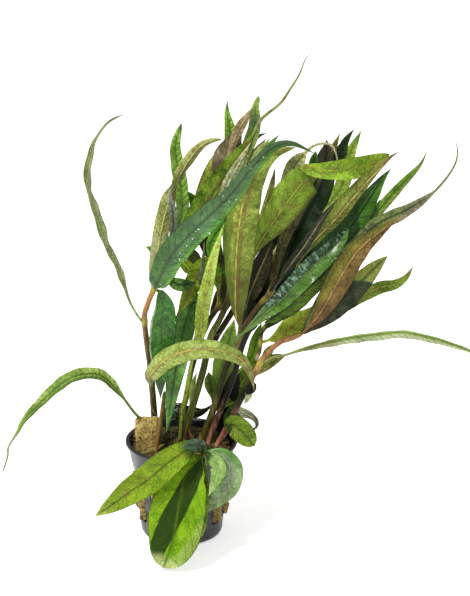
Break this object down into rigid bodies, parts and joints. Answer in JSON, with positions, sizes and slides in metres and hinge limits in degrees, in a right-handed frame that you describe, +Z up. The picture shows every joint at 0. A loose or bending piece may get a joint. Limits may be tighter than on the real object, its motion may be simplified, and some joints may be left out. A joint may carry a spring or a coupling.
{
  "type": "potted hygrophila",
  "caption": "Potted hygrophila water plant: long lance-shaped green and brown leaves on upright stems, rooted in rock wool in a small slotted net pot.",
  "frame": {"origin": "middle of the pot's flat base, on the surface that it stands on", "axes": "+Z up; +Y away from the side that the picture shows; +X to the right in the picture"},
  "size_m": [0.2462, 0.0962, 0.2557],
  "materials": {
    "net_pot": "smooth, slightly glossy",
    "rock_wool": "loose mineral fibre, damp",
    "stem_left": "smooth, damp",
    "stem_front_left": "smooth, damp",
    "stem_slim": "smooth, damp",
    "stem_middle": "smooth, damp",
    "stem_middle_branch": "smooth, damp",
    "stem_tall": "smooth, damp",
    "stem_red_inner": "smooth, damp",
    "stem_red_outer": "smooth, damp",
    "stem_side_shoot": "smooth, damp",
    "stem_low_front": "smooth, damp",
    "leaf_far_left": "waxy leaf, damp",
    "leaf_low_left": "waxy leaf, damp",
    "leaf_far_right": "waxy leaf, damp",
    "leaf_front_arch": "waxy leaf, damp",
    "leaf_big_dark": "waxy leaf, damp",
    "leaf_centre": "waxy leaf, damp",
    "leaf_wide": "waxy leaf, damp",
    "leaf_bright_flat": "waxy leaf, damp",
    "leaf_tan": "waxy leaf, damp",
    "leaf_right_dark": "waxy leaf, damp",
    "leaf_right_low_dark": "waxy leaf, damp",
    "leaf_right_curled": "waxy leaf, damp",
    "leaf_right_long": "waxy leaf, damp",
    "leaf_brown": "waxy leaf, damp",
    "leaf_shaded": "waxy leaf, damp",
    "leaf_right_low": "waxy leaf, damp",
    "leaf_olive_right": "waxy leaf, damp",
    "leaf_folded_green": "waxy leaf, damp",
    "leaf_under_dark": "waxy leaf, damp",
    "leaf_right_oval": "waxy leaf, damp",
    "leaf_curled_loop": "waxy leaf, damp",
    "leaf_front_left": "waxy leaf, damp",
    "leaf_front": "waxy leaf, damp",
    "leaf_front_pale": "waxy leaf, damp",
    "leaf_front_right": "waxy leaf, damp",
    "leaf_left_hanging": "waxy leaf, damp",
    "leaf_middle_hanging": "waxy leaf, damp",
    "leaf_olive_hanging": "waxy leaf, damp",
    "leaf_pale_upright": "waxy leaf, damp",
    "leaf_strip": "waxy leaf, damp",
    "leaf_left_upper": "waxy leaf, damp",
    "leaf_left_tall": "waxy leaf, damp",
    "leaf_upper_back": "waxy leaf, damp",
    "leaf_grey_twist": "waxy leaf, damp",
    "leaf_curled_tip": "waxy leaf, damp",
    "leaf_long_tail": "waxy leaf, damp",
    "leaf_purple_edge": "waxy leaf, damp",
    "leaf_dark_back": "waxy leaf, damp",
    "leaf_glossy_arch": "waxy leaf, damp",
    "leaf_narrow_point": "waxy leaf, damp",
    "leaf_olive_back": "waxy leaf, damp",
    "leaf_green_back": "waxy leaf, damp",
    "leaf_glossy_point": "waxy leaf, damp",
    "leaf_below_node": "waxy leaf, damp",
    "leaf_behind_stems": "waxy leaf, damp",
    "leaf_pale_tan": "waxy leaf, damp",
    "leaf_low_olive": "waxy leaf, damp",
    "leaf_low_dark": "waxy leaf, damp"
  },
  "bodies": {
    "root": {"net_pot": "net_pot", "rock_wool": "rock_wool", "stem_left": "stem_left", "stem_front_left": "stem_front_left", "stem_slim": "stem_slim", "stem_middle": "stem_middle", "stem_middle_branch": "stem_middle_branch", "stem_tall": "stem_tall", "stem_red_inner": "stem_red_inner", "stem_red_outer": "stem_red_outer", "stem_side_shoot": "stem_side_shoot", "stem_low_front": "stem_low_front", "leaf_far_left": "leaf_far_left", "leaf_low_left": "leaf_low_left", "leaf_far_right": "leaf_far_right", "leaf_front_arch": "leaf_front_arch", "leaf_big_dark": "leaf_big_dark", "leaf_centre": "leaf_centre", "leaf_wide": "leaf_wide", "leaf_bright_flat": "leaf_bright_flat", "leaf_tan": "leaf_tan", "leaf_right_dark": "leaf_right_dark", "leaf_right_low_dark": "leaf_right_low_dark", "leaf_right_curled": "leaf_right_curled", "leaf_right_long": "leaf_right_long", "leaf_brown": "leaf_brown", "leaf_shaded": "leaf_shaded", "leaf_right_low": "leaf_right_low", "leaf_olive_right": "leaf_olive_right", "leaf_folded_green": "leaf_folded_green", "leaf_under_dark": "leaf_under_dark", "leaf_right_oval": "leaf_right_oval", "leaf_curled_loop": "leaf_curled_loop", "leaf_front_left": "leaf_front_left", "leaf_front": "leaf_front", "leaf_front_pale": "leaf_front_pale", "leaf_front_right": "leaf_front_right", "leaf_left_hanging": "leaf_left_hanging", "leaf_middle_hanging": "leaf_middle_hanging", "leaf_olive_hanging": "leaf_olive_hanging", "leaf_pale_upright": "leaf_pale_upright", "leaf_strip": "leaf_strip", "leaf_left_upper": "leaf_left_upper", "leaf_left_tall": "leaf_left_tall", "leaf_upper_back": "leaf_upper_back", "leaf_grey_twist": "leaf_grey_twist", "leaf_curled_tip": "leaf_curled_tip", "leaf_long_tail": "leaf_long_tail", "leaf_purple_edge": "leaf_purple_edge", "leaf_dark_back": "leaf_dark_back", "leaf_glossy_arch": "leaf_glossy_arch", "leaf_narrow_point": "leaf_narrow_point", "leaf_olive_back": "leaf_olive_back", "leaf_green_back": "leaf_green_back", "leaf_glossy_point": "leaf_glossy_point", "leaf_below_node": "leaf_below_node", "leaf_behind_stems": "leaf_behind_stems", "leaf_pale_tan": "leaf_pale_tan", "leaf_low_olive": "leaf_low_olive", "leaf_low_dark": "leaf_low_dark"}
  },
  "joints": []
}
